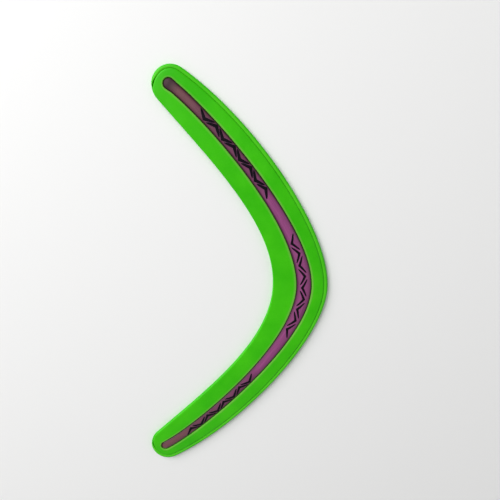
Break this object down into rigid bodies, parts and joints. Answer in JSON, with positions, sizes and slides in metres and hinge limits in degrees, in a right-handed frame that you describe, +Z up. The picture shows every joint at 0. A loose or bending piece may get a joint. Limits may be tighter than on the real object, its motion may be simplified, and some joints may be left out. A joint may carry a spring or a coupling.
{
  "type": "boomerang",
  "caption": "Returning boomerang with curved arms, a rimmed plate below, a crowned skin above and a patterned spine strip set in a slot from tip to tip.",
  "frame": {"origin": "middle of the footprint, on the flat underside", "axes": "+Z up from the flat underside, +Y along the span from tip to tip, +X towards the outside of the elbow"},
  "size_m": [0.15, 0.3456, 0.0058],
  "materials": {
    "wing_base": "lime green soft moulded polymer, satin, very slightly pebbled",
    "wing_skin": "lime green soft moulded polymer, satin, with a soft sheen on its rounded shoulders",
    "spine": "purple moulded plastic, satin to semi-gloss, darker towards its edges",
    "print_black": "near-black printed ink with a faint violet cast"
  },
  "bodies": {
    "root": {"wing_base": "wing_base", "wing_skin": "wing_skin", "spine": "spine"}
  },
  "joints": []
}
